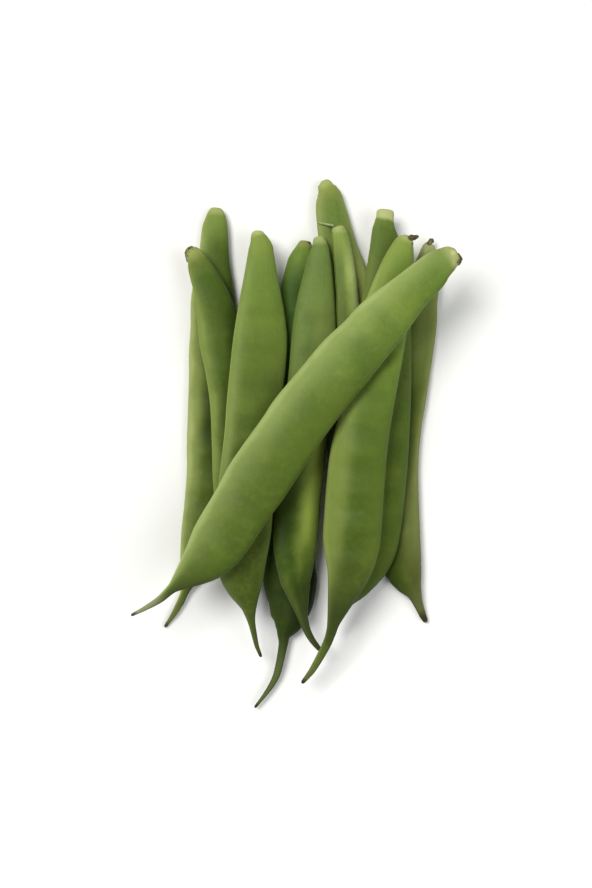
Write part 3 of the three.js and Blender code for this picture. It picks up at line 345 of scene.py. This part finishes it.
def ring_plan(length, along, stem_cap, tail_cap, stem_rings, tail_rings, blunt=2.0):
    s, f = [], []
    for i in range(stem_rings):
        b = 0.5 * math.pi * i / stem_rings
        s.append(stem_cap * (1 - math.cos(b)))
        f.append((1 - math.cos(b) ** blunt) ** (1 / blunt))
    middle = along - stem_rings - tail_rings
    for i in range(middle + 1):
        u = i / middle
        v = 0.62 * u + 0.38 * (1 - math.cos(math.pi * u)) / 2
        s.append(stem_cap + (length - stem_cap - tail_cap) * v)
        f.append(1.0)
    for i in range(1, tail_rings + 1):
        b = 0.5 * math.pi * (1 - i / tail_rings)
        s.append(length - tail_cap * (1 - math.cos(b)))
        f.append(0.0 if i == tail_rings else math.sin(b))
    return np.array(s), np.array(f)


def ripple(seed, s, th, waves, shortest, longest, turns):
    """Smooth made-up relief: a seeded sum of waves over length and turn."""
    rng = np.random.default_rng(seed)
    out = np.zeros(np.broadcast(s, th).shape)
    for _ in range(waves):
        k = 2 * math.pi / rng.uniform(shortest, longest)
        m = int(rng.integers(0, turns + 1))
        p = rng.uniform(0, 2 * math.pi)
        out += np.cos(k * s + rng.choice([-1, 1]) * m * th + p) / math.sqrt(waves)
    return out


def close_mesh(name, rings, attributes):
    """A closed quad mesh with a pole at each end, from rings [m, n, 3] in mm."""
    m, n = rings.shape[:2]
    verts = np.vstack([rings[0, :1], rings[1:-1].reshape(-1, 3), rings[-1, :1]]) * MM
    j = np.arange(n)
    k = (j + 1) % n
    faces = [(0, 1 + b, 1 + a) for a, b in zip(j, k)]
    for i in range(m - 3):
        o = 1 + i * n
        faces += [(o + a, o + b, o + n + b, o + n + a) for a, b in zip(j, k)]
    o = 1 + (m - 3) * n
    last = len(verts) - 1
    faces += [(o + a, o + b, last) for a, b in zip(j, k)]
    mesh = bpy.data.meshes.new(name)
    mesh.from_pydata(verts.tolist(), [], faces)
    for key, field in attributes.items():
        flat = np.concatenate([field[0, :1], field[1:-1].reshape(-1), field[-1, :1]])
        mesh.attributes.new(key, "FLOAT", "POINT").data.foreach_set("value", flat.astype(np.float32))
    mesh.polygons.foreach_set("use_smooth", np.ones(len(mesh.polygons), bool))
    mesh.update()
    obj = bpy.data.objects.new(name, mesh)
    bpy.context.scene.collection.objects.link(obj)
    return obj


def frames_along(rows, s):
    t = np.linspace(0, len(rows) - 1, 401)
    line = spline(rows, t)[:, :3]
    arc = np.r_[0, np.cumsum(np.linalg.norm(np.diff(line, axis=0), axis=1))]
    tt = np.interp(s, arc, t)
    d = 1e-3 * (len(rows) - 1)
    tangent = spline(rows, np.minimum(tt + d, len(rows) - 1))[:, :3] - spline(rows, np.maximum(tt - d, 0))[:, :3]
    tangent /= np.linalg.norm(tangent, axis=1)[:, None]
    side = np.cross([0, 0, 1.0], tangent)
    side /= np.linalg.norm(side, axis=1)[:, None]
    face = np.cross(tangent, side)
    profile = spline(rows, tt)
    lean = np.radians(profile[:, 5])[:, None]
    across = side * np.cos(lean) - face * np.sin(lean)
    through = face * np.cos(lean) + side * np.sin(lean)
    return profile, across, through, tangent


def arc_length(rows):
    line = spline(rows, np.linspace(0, len(rows) - 1, 401))[:, :3]
    return float(np.linalg.norm(np.diff(line, axis=0), axis=1).sum())


def build_pod(name, spec, seed):
    rows = np.array(spec["sections"], float)
    length, body = arc_length(rows), spec["body"]
    s, close = ring_plan(length, ALONG, STEM_CAP, TAIL_CAP, 16, 6, spec.get("blunt", BLUNT))
    profile, across, through, tangent = frames_along(rows, s)
    phi = 2 * np.pi * np.arange(AROUND) / AROUND
    th = phi - 0.33 * np.sin(2 * phi)          # more points near the two edges
    e = 2 / SQUARE
    c = np.sign(np.cos(th)) * np.abs(np.cos(th)) ** e
    v = np.sign(np.sin(th)) * np.abs(np.sin(th)) ** e
    c[np.abs(np.cos(th)) < 1e-9] = 0
    v[np.abs(np.sin(th)) < 1e-9] = 0
    S, TH = s[:, None], th[None, :]

    # seeds: thinner between two of them, as in the solid and a little more
    u = (s - SEED_START * body) / (SEED_SPAN * body)
    env = smoothstep(0, 0.08, np.minimum(u, 1 - u))
    rng = np.random.default_rng(seed)
    bumps = spec["seeds"]
    size = np.interp(u * bumps, np.arange(-1, bumps + 2), rng.uniform(0.35, 1.25, bumps + 3))
    wave = 0.5 + 0.5 * np.cos(2 * np.pi * u * bumps)
    pinch = 1 - spec["pinch"] * env * wave
    over_seed = env * (1 - wave) * size
    gap = env * wave * np.interp(u * bumps, np.arange(-1, bumps + 2) + 0.5, rng.uniform(0.3, 1.3, bumps + 3))

    fuller = 1 + spec.get("tip", 0.0) * np.exp(-((s / 3.5) ** 2))
    a = (profile[:, 3] * fuller * close)[:, None] * np.ones_like(TH)
    b = (profile[:, 4] * fuller * pinch * close)[:, None] * np.ones_like(TH)
    grown = smoothstep(0, 10, S) * smoothstep(0, 1.0, (length - S) / 14)
    U, V = a * c[None, :], b * v[None, :]

    # direction out of the section, for relief
    nx = np.sign(c)[None, :] * np.abs(c[None, :]) ** (SQUARE - 1) / np.maximum(a, 0.05)
    nv = np.sign(v)[None, :] * np.abs(v[None, :]) ** (SQUARE - 1) / np.maximum(b, 0.05)
    nn = np.sqrt(nx**2 + nv**2) + 1e-9
    nx, nv = nx / nn, nv / nn

    # the two seams: a fine raised line on each edge with a shallow groove
    # beside it, stronger on the edge that carries the seeds
    seam_side = spec.get("seam", 1)
    lat, top = c[None, :], v[None, :]
    near = np.abs(lat) > 0.8
    strong = np.where(np.sign(lat) == seam_side, 1.0, 0.6)
    wander = 0.10 * ripple(seed + 9, S, 0 * TH, 4, 14.0, 40.0, 0)
    ridge = np.exp(-(((V - wander) / 0.32) ** 2)) * near * strong
    groove = np.exp(-(((np.abs(V - wander) - 0.95) / 0.50) ** 2)) * near * strong
    relief = (0.13 * ridge - 0.10 * groove) * grown

    # relief of the faces: a swelling over each seed, nearer to the seam that
    # carries them, a dip between two seeds, and slow unevenness
    face_up = np.abs(top) ** 0.7
    middle = np.exp(-(((lat - 0.12 * seam_side) / 0.50) ** 2)) * face_up
    relief = relief + 0.10 * over_seed[:, None] * middle * grown
    relief = relief - spec.get("dip", 0.24) * gap[:, None] * np.exp(-(((lat - 0.12 * seam_side) / 0.75) ** 2)) * face_up * grown
    slow = ripple(seed, S, TH, 9, 10.0, 36.0, 2)
    relief = relief + (0.05 * np.tanh(slow) - 0.05 - 0.14 * smoothstep(0.2, 1.5, slow)) * grown * face_up
    relief = relief + 0.022 * ripple(seed + 50, S, TH, 14, 2.6, 8.0, 9) * grown * smoothstep(0.15, 0.6, np.abs(top))
    # long soft ridges and hollows of this pod: [from, to, across, width, height]
    for s0, s1, across_at, spread, high in spec.get("creases", []):
        stretch = smoothstep(s0, s0 + 12, S) * (1 - smoothstep(s1 - 12, s1, S))
        relief = relief + high * stretch * np.exp(-(((lat - across_at) / spread) ** 2)) * smoothstep(0.05, 0.5, top)
    # fine ribs at the neck of the stem end
    neck = np.exp(-(((S - 4.5) / 3.0) ** 2))
    relief = relief + 0.05 * neck * np.cos(9 * TH + seed) * smoothstep(0.3, 2.0, S)
    relief = relief + 0.035 * ripple(seed + 70, S, TH, 12, 1.2, 4.0, 7) * np.exp(-((S / 6.0) ** 2)) * smoothstep(0.2, 1.5, S)
    # collar, where the cap meets the pod
    collar = spec.get("collar", 0.05)
    at = spec.get("collar_at", 2.6) + 0.35 * np.cos(2 * TH + seed) + 0.2 * np.cos(3 * TH)
    relief = relief + collar * np.exp(-(((S - at) / 0.6) ** 2)) - 0.9 * collar * np.exp(-(((S - at - 1.5) / 0.9) ** 2))
    relief = relief * (close[:, None] ** 0.5)
    U, V2 = U + relief * nx, V + relief * nv
    P = profile[:, None, :3] + U[..., None] * across[:, None, :] + V2[..., None] * through[:, None, :]
    # the scar at the stem end is a shallow dish
    hollow = 0.55 * np.exp(-((close / 0.55) ** 2)) * (s < STEM_CAP)
    P = P + (hollow[:, None] * tangent)[:, None, :]
    P[..., 2] = np.maximum(P[..., 2], SURFACE)

    lat = np.broadcast_to(c[None, :], U.shape)
    ones = np.ones_like(U)
    attributes = {
        "pod_s": S * ones, "pod_tail": (length - S) * ones, "pod_lat": lat,
        "pod_face": np.broadcast_to(v[None, :], U.shape),
        "pod_seam": ridge * np.broadcast_to(grown, U.shape) * ones,
        "pod_seed": (over_seed - gap)[:, None] * ones,
        "pod_body": (S / body) * ones,
    }
    obj = close_mesh("skin_" + name, P, attributes)
    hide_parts(name)
    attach(obj, "root")
    return obj


def build_remnant(name, spec, seed):
    rows = np.array(spec["sections"], float)
    length = arc_length(rows)
    thread = name == "stalk_thread"
    s, close = ring_plan(length, 60, spec["cap"], spec["cap"], 8, 8)
    profile, across, through, tangent = frames_along(rows, s)
    n = 40
    th = 2 * np.pi * np.arange(n) / n
    S, TH = s[:, None], th[None, :]
    a, b = profile[:, 3] * close * spec.get("thick", 1.0), profile[:, 4] * close * spec.get("tall", 1.0)
    rough = ripple(seed, S, TH, 10, 0.8, 3.0, 4) * (0.02 if thread else 0.07)
    ribs = np.cos((5 if thread else 7) * TH + 1.3 * np.sin(S * 1.4)) * (0.02 if thread else 0.06)
    k = 1 + rough * 1.4 + ribs * 1.2
    U = a[:, None] * np.cos(TH) * k
    V = b[:, None] * np.sin(TH) * k
    P = profile[:, None, :3] + U[..., None] * across[:, None, :] + V[..., None] * through[:, None, :]
    P[..., 2] = np.maximum(P[..., 2], SURFACE)
    ones = np.ones_like(U)
    if spec.get("pull"):
        # clasps the stem end that it belongs to
        way = np.array(spec["toward"]) - profile[:, :3]
        way /= np.linalg.norm(way, axis=1)[:, None]
        P = P + (spec["pull"] * way)[:, None, :]
    P[..., 2] = np.maximum(P[..., 2], SURFACE)
    obj = close_mesh("dry_" + name, P, {"pod_s": S * ones, "pod_tail": (length - S) * ones, "pod_rib": ribs * ones / 0.06})
    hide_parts(name)
    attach(obj, "root")
    return obj


# ---- materials -------------------------------------------------------------------

class Nodes:
    """Short hand for building a node material."""

    def __init__(self, name):
        self.mat = bpy.data.materials.new(name)
        self.mat.use_nodes = True
        self.tree = self.mat.node_tree
        self.tree.nodes.clear()
        self.out = self.tree.nodes.new("ShaderNodeOutputMaterial")
        self.bsdf = self.tree.nodes.new("ShaderNodeBsdfPrincipled")
        self.tree.links.new(self.bsdf.outputs[0], self.out.inputs[0])
        self.coord = self.tree.nodes.new("ShaderNodeTexCoord").outputs["Object"]

    def put(self, socket, value):
        if isinstance(value, bpy.types.NodeSocket):
            self.tree.links.new(value, socket)
        elif isinstance(value, (tuple, list)) and len(value) == 3 and socket.type == "RGBA":
            socket.default_value = (*value, 1.0)
        else:
            socket.default_value = value

    def attr(self, name):
        n = self.tree.nodes.new("ShaderNodeAttribute")
        n.attribute_name = name
        return n.outputs["Fac"]

    def math(self, op, a, b=0.0, c=0.0, clamp=False):
        n = self.tree.nodes.new("ShaderNodeMath")
        n.operation = op
        n.use_clamp = clamp
        for i, x in enumerate((a, b, c)):
            self.put(n.inputs[i], x)
        return n.outputs[0]

    def step(self, x, lo, hi, out_lo=0.0, out_hi=1.0):
        n = self.tree.nodes.new("ShaderNodeMapRange")
        n.interpolation_type = "SMOOTHSTEP"
        self.put(n.inputs["Value"], x)
        for key, v in (("From Min", lo), ("From Max", hi), ("To Min", out_lo), ("To Max", out_hi)):
            self.put(n.inputs[key], v)
        return n.outputs[0]

    def noise(self, scale, detail=3.0, rough=0.55, vector=None, distort=0.0):
        n = self.tree.nodes.new("ShaderNodeTexNoise")
        self.put(n.inputs["Vector"], vector if vector is not None else self.coord)
        n.inputs["Scale"].default_value = scale
        n.inputs["Detail"].default_value = detail
        n.inputs["Roughness"].default_value = rough
        n.inputs["Distortion"].default_value = distort
        return n.outputs["Fac"]

    def voronoi(self, scale, vector=None, feature="F1"):
        n = self.tree.nodes.new("ShaderNodeTexVoronoi")
        n.feature = feature
        self.put(n.inputs["Vector"], vector if vector is not None else self.coord)
        n.inputs["Scale"].default_value = scale
        return n.outputs["Distance"]

    def mix(self, fac, a, b, mode="MIX"):
        n = self.tree.nodes.new("ShaderNodeMix")
        n.data_type = "RGBA"
        n.blend_type = mode
        n.clamp_factor = True
        self.put(n.inputs[0], fac)
        self.put(n.inputs[6], a)
        self.put(n.inputs[7], b)
        return n.outputs[2]

    def vec(self, x, y, z):
        n = self.tree.nodes.new("ShaderNodeCombineXYZ")
        for i, v in enumerate((x, y, z)):
            self.put(n.inputs[i], v)
        return n.outputs[0]

    def distance(self, point):
        n = self.tree.nodes.new("ShaderNodeVectorMath")
        n.operation = "DISTANCE"
        self.put(n.inputs[0], self.coord)
        n.inputs[1].default_value = point
        return n.outputs["Value"]

    def bump(self, height, strength, distance, normal=None):
        n = self.tree.nodes.new("ShaderNodeBump")
        n.inputs["Strength"].default_value = strength
        n.inputs["Distance"].default_value = distance
        self.put(n.inputs["Height"], height)
        if normal is not None:
            self.put(n.inputs["Normal"], normal)
        return n.outputs[0]


def scaled(c, k):
    return tuple(min(1.0, x * k) for x in c)


def pod_material(name, spec):
    g = Nodes("mat_" + name)
    s, tail, lat, seam = g.attr("pod_s"), g.attr("pod_tail"), g.attr("pod_lat"), g.attr("pod_seam")
    seed, body, face = g.attr("pod_seed"), g.attr("pod_body"), g.attr("pod_face")
    top, low = spec["top"], spec["low"]
    edge = spec.get("edge", (0.215, 0.285, 0.066))
    fresh = (0.5 * (top[0] + edge[0]), 0.5 * (top[1] + edge[1]), 0.5 * top[2] + 0.25 * edge[2])
    wide = g.noise(26.0, 2.0, 0.5)
    slow = g.noise(62.0, 3.0, 0.55)
    mid = g.noise(170.0, 3.0, 0.6)
    fine = g.noise(430.0, 3.0, 0.6)
    # the green changes from the stem end to the tail
    along = g.math("ADD", body, g.math("MULTIPLY_ADD", wide, 0.5, -0.25))
    b0, b1 = spec.get("fade", (0.15, 0.85))
    col = g.mix(g.step(along, b0, b1), top, low)
    # slow drift to a deeper and to a yellower green
    col = g.mix(g.step(slow, 0.26, 0.56, 0.30, 0.0), col, g.mix(0.72, col, (0.034, 0.064, 0.006)))
    col = g.mix(g.step(wide, 0.46, 0.70, 0.0, 0.40), col, fresh)
    green = g.noise(41.0, 2.0, 0.5)
    col = g.mix(g.step(green, 0.47, 0.66, 0.0, 0.18), col, g.mix(0.6, col, (0.058, 0.145, 0.012)))
    col = g.mix(g.step(mid, 0.42, 0.78, 0.0, 0.20), col, fresh)
    # deeper between two seeds, lighter over one
    # painted shade in the dip between two seeds, and a painted highlight over the swelling of each seed
    mid_face = g.step(g.math("ABSOLUTE", lat), 0.45, 0.95, 1.0, 0.0)
    col = g.mix(g.math("MULTIPLY", g.step(seed, -1.1, 0.1, spec.get("deep", 0.30), 0.0), mid_face), col, g.mix(0.60, col, (0.028, 0.056, 0.005)))
    col = g.mix(g.math("MULTIPLY", g.step(seed, 0.5, 2.2, 0.0, 0.55), mid_face), col, fresh)
    # streaks along the pod
    streak = g.noise(1.0, 3.0, 0.6, g.vec(g.math("MULTIPLY", s, 0.045), g.math("MULTIPLY", lat, 4.2), g.math("MULTIPLY", face, 1.5)))
    col = g.mix(g.step(streak, 0.52, 0.80, 0.0, 0.45), col, g.mix(0.5, col, (0.040, 0.075, 0.012)))
    # fine grain and pale specks of the skin
    speck = g.noise(1150.0, 3.0, 0.7)
    col = g.mix(g.step(speck, 0.40, 0.75, 0.0, 0.26), col, g.mix(0.55, col, (0.032, 0.060, 0.008)))
    col = g.mix(g.step(fine, 0.46, 0.80, 0.0, 0.20), col, fresh)
    # paler towards the two edges: partly the skin's own paler rims and partly a painted highlight on the side that the
    # light falls on, as much as rim_left and rim_right give; a fine light line on each seam
    uneven = g.math("MULTIPLY_ADD", slow, 0.5, -0.25)
    for side, key, default in ((-1.0, "rim_left", 0.75), (1.0, "rim_right", 0.45)):
        way = g.math("ADD", g.math("MULTIPLY", lat, side), uneven)
        amount = spec.get(key, default)
        pale = g.math("ADD", g.step(way, spec.get("rim_from", 0.35), 1.0, 0.0, 0.55 * amount), g.step(way, 0.70, 1.0, 0.0, 0.45 * amount))
        col = g.mix(pale, col, edge)
    col = g.mix(g.math("MULTIPLY", seam, spec.get("line", 0.42)), col, spec.get("line_tone", scaled(edge, 1.45)))
    # zone entries of this pod: [from, to, left, right, soft, colour, amount], in length
    # from the stem end and in place across. Most are painted shade where another
    # pod's shadow falls or a side turns from the light, and painted light where a
    # side or ridge is lit; a few are patches and lines of the pod's own colour
    for z0, z1, l0, l1, soft, tone, amount in spec.get("painted_light_and_tone_zones", []):
        zs = g.math("ADD", s, g.math("MULTIPLY_ADD", slow, 16.0, -8.0))
        zl = g.math("ADD", lat, g.math("MULTIPLY_ADD", slow, 0.5, -0.25))
        inside = g.math("MULTIPLY", g.step(zs, z0 - 10, z0 + 10), g.step(zs, z1 - 10, z1 + 10, 1.0, 0.0))
        inside = g.math("MULTIPLY", inside, g.step(zl, l0 - soft, l0 + soft))
        inside = g.math("MULTIPLY", inside, g.step(zl, l1 - soft, l1 + soft, 1.0, 0.0))
        col = g.mix(g.math("MULTIPLY", inside, amount), col, tone)
    # stem end: yellow-green neck, then the pale cap and the scar
    wob = g.math("MULTIPLY_ADD", g.noise(300.0, 2.0), 3.0, -1.5)
    wob = g.math("ADD", wob, g.math("MULTIPLY_ADD", g.noise(90.0, 2.0), 5.0, -2.5))
    sw = g.math("ADD", s, wob)
    n0, n1 = spec.get("neck", (3.0, 18.0))
    col = g.mix(g.step(sw, n0, n1, spec.get("neck_mix", 0.80), 0.0), col, spec.get("neck_tone", (0.215, 0.290, 0.060)))
    capw = g.math("ADD", s, g.math("MULTIPLY_ADD", g.noise(420.0, 2.0), 1.6, -0.8))
    c0, c1 = spec.get("capped", (1.4, 4.2))
    col = g.mix(g.step(capw, c0, c1, spec.get("cap_mix", 0.75), 0.0), col, spec.get("cap_tone", (0.36, 0.41, 0.145)))
    col = g.mix(g.step(capw, 0.0, 0.9, spec.get("scar_mix", 0.55), 0.0), col, spec.get("scar_tone", (0.20, 0.165, 0.07)))
    # tail: greyer and drier, brown at the very tip
    t0 = spec.get("tail_len", 16.0)
    col = g.mix(g.step(tail, t0 * 0.45, t0 * 1.1, spec.get("tail_mix", 0.55), 0.0), col, spec.get("tail_tone", (0.120, 0.140, 0.045)))
    # painted shade: the two edges darken where the pod draws in to its tail and its rims turn down away from the light
    near_tail = g.step(g.math("ADD", tail, g.math("MULTIPLY_ADD", slow, 16.0, -8.0)), 16.0, 44.0, 1.0, 0.0)
    for side, amount in zip((-1.0, 1.0), spec.get("tail_rim_shade", (0.5, 0.5))):
        rim = g.step(g.math("ADD", g.math("MULTIPLY", lat, side), g.math("MULTIPLY_ADD", mid, 0.16, -0.08)), 0.66, 0.97)
        col = g.mix(g.math("MULTIPLY", g.math("MULTIPLY", rim, near_tail), amount), col, (0.034, 0.044, 0.013))
    tw = g.math("ADD", tail, g.math("MULTIPLY_ADD", g.noise(600.0, 2.0), 2.0, -1.0))
    col = g.mix(g.step(tw, spec.get("tip_solid", 0.8), spec.get("tip_dry", 3.4), 0.88, 0.0), col, (0.032, 0.026, 0.013))
    # small dry specks, and the blemishes that this pod carries
    fleck = g.voronoi(120.0)
    col = g.mix(g.step(fleck, 0.012, 0.030, 0.28, 0.0), col, (0.070, 0.070, 0.022))
    for point, radius, tone, amount in spec.get("marks", []):
        d = g.math("MULTIPLY_ADD", g.noise(900.0, 2.0), 0.0010, g.distance([v * MM for v in point]))
        col = g.mix(g.step(d, (radius * 0.45 + 0.5) * MM, (radius + 0.5) * MM, amount, 0.0), col, tone)
    g.put(g.bsdf.inputs["Base Color"], col)
    # satin skin: roughness varies slowly and with the grain
    mean = spec.get("rough", 0.50)
    ro = g.step(slow, 0.3, 0.7, mean - 0.06, mean + 0.07)
    ro = g.math("ADD", ro, g.step(speck, 0.4, 0.75, 0.0, 0.08))
    g.put(g.bsdf.inputs["Roughness"], ro)
    h = g.math("MULTIPLY_ADD", g.noise(1700.0, 3.0, 0.65), 0.5, g.math("MULTIPLY", fine, 0.8))
    b1 = g.bump(h, 0.22, 0.0005)
    long_h = g.noise(1.0, 2.0, 0.5, g.vec(g.math("MULTIPLY", s, 0.10), g.math("MULTIPLY", lat, 14.0), face))
    b2 = g.bump(long_h, 0.10, 0.0008, b1)
    g.put(g.bsdf.inputs["Normal"], b2)
    g.bsdf.inputs["Specular IOR Level"].default_value = 0.10
    g.bsdf.inputs["Subsurface Weight"].default_value = 0.04
    g.bsdf.inputs["Subsurface Radius"].default_value = (0.6, 1.0, 0.2)
    g.bsdf.inputs["Subsurface Scale"].default_value = 0.0014
    return g.mat


def dry_material(name, dark, light):
    g = Nodes("mat_" + name)
    n1 = g.noise(700.0, 4.0, 0.65)
    n2 = g.noise(2400.0, 3.0, 0.6)
    rib = g.attr("pod_rib")
    col = g.mix(g.step(n1, 0.35, 0.65), dark, light)
    # painted shade in the grooves between the ribs
    col = g.mix(g.step(rib, -0.6, 0.9, 0.55, 0.0), col, scaled(dark, 0.55))
    col = g.mix(g.step(n2, 0.55, 0.75, 0.0, 0.5), col, scaled(light, 1.5))
    g.put(g.bsdf.inputs["Base Color"], col)
    g.put(g.bsdf.inputs["Roughness"], g.step(n1, 0.3, 0.7, 0.70, 0.92))
    g.put(g.bsdf.inputs["Normal"], g.bump(g.math("ADD", n1, g.math("MULTIPLY", n2, 0.5)), 0.5, 0.0006))
    g.bsdf.inputs["Specular IOR Level"].default_value = 0.25
    return g.mat


def floor_material():
    g = Nodes("mat_floor")
    n = g.noise(6.0, 2.0)
    g.put(g.bsdf.inputs["Base Color"], g.mix(n, (0.86, 0.86, 0.85), (0.89, 0.89, 0.885)))
    g.put(g.bsdf.inputs["Roughness"], g.step(n, 0.3, 0.7, 0.80, 0.88))
    g.bsdf.inputs["Specular IOR Level"].default_value = 0.2
    return g.mat


# ---- the bundle --------------------------------------------------------------------
for i, (name, spec) in enumerate(PODS.items()):
    spec.update(LOOK.get(name, {}))
    obj = build_pod(name, spec, 100 + 7 * i)
    obj.data.materials.append(pod_material(name, spec))

for i, (name, spec) in enumerate(REMNANTS.items()):
    spec.update(CLASP.get(name, {}))
    obj = build_remnant(name, spec, 900 + 7 * i)
    obj.data.materials.append(dry_material(name, spec["dark"], spec["light"]))

# ---- floor, light and camera ---------------------------------------------------------
bpy.ops.mesh.primitive_plane_add(size=6.0, location=(0, 0, -0.0002))
floor = bpy.context.object
floor.name = "floor"
floor.data.materials.append(floor_material())


def area(name, at, aim, size, watts, colour, gloss):
    light = bpy.data.lights.new(name, "AREA")
    light.shape = "DISK"
    light.size = size
    light.energy = watts
    light.color = colour
    obj = bpy.data.objects.new(name, light)
    bpy.context.scene.collection.objects.link(obj)
    obj.location = at
    obj.rotation_euler = (Vector(aim) - Vector(at)).to_track_quat("-Z", "Y").to_euler()
    obj.visible_glossy = gloss
    return obj


area("key", (-0.82, 0.64, 2.10), (-0.01, 0.0, 0.01), 1.15, 46.0, (1.0, 0.985, 0.95), True)
area("fill", (0.95, -0.20, 1.60), (0.0, 0.0, 0.0), 1.3, 12.0, (0.97, 0.99, 1.0), False)

world = bpy.data.worlds.new("studio")
bpy.context.scene.world = world
world.use_nodes = True
world.node_tree.nodes["Background"].inputs[0].default_value = (1.0, 1.0, 1.0, 1.0)
world.node_tree.nodes["Background"].inputs[1].default_value = 0.27

REACH = 0.620          # camera to the plane 14 mm above the floor
FIELD = 888 * 0.36 * MM  # height of that plane in the frame
camera = bpy.data.cameras.new("camera")
camera.sensor_fit = "AUTO"
camera.sensor_width = 36.0
camera.lens = 36.0 * REACH / FIELD
camera.clip_start, camera.clip_end = 0.01, 10.0
view = bpy.data.objects.new("camera", camera)
bpy.context.scene.collection.objects.link(view)
view.location = (0.026 * MM, -0.0865 * MM, 0.014 + REACH)
view.rotation_euler = (0.0, 0.0, 0.0)
bpy.context.scene.camera = view

bpy.context.scene.view_settings.view_transform = "Standard"
bpy.context.scene.view_settings.look = "None"
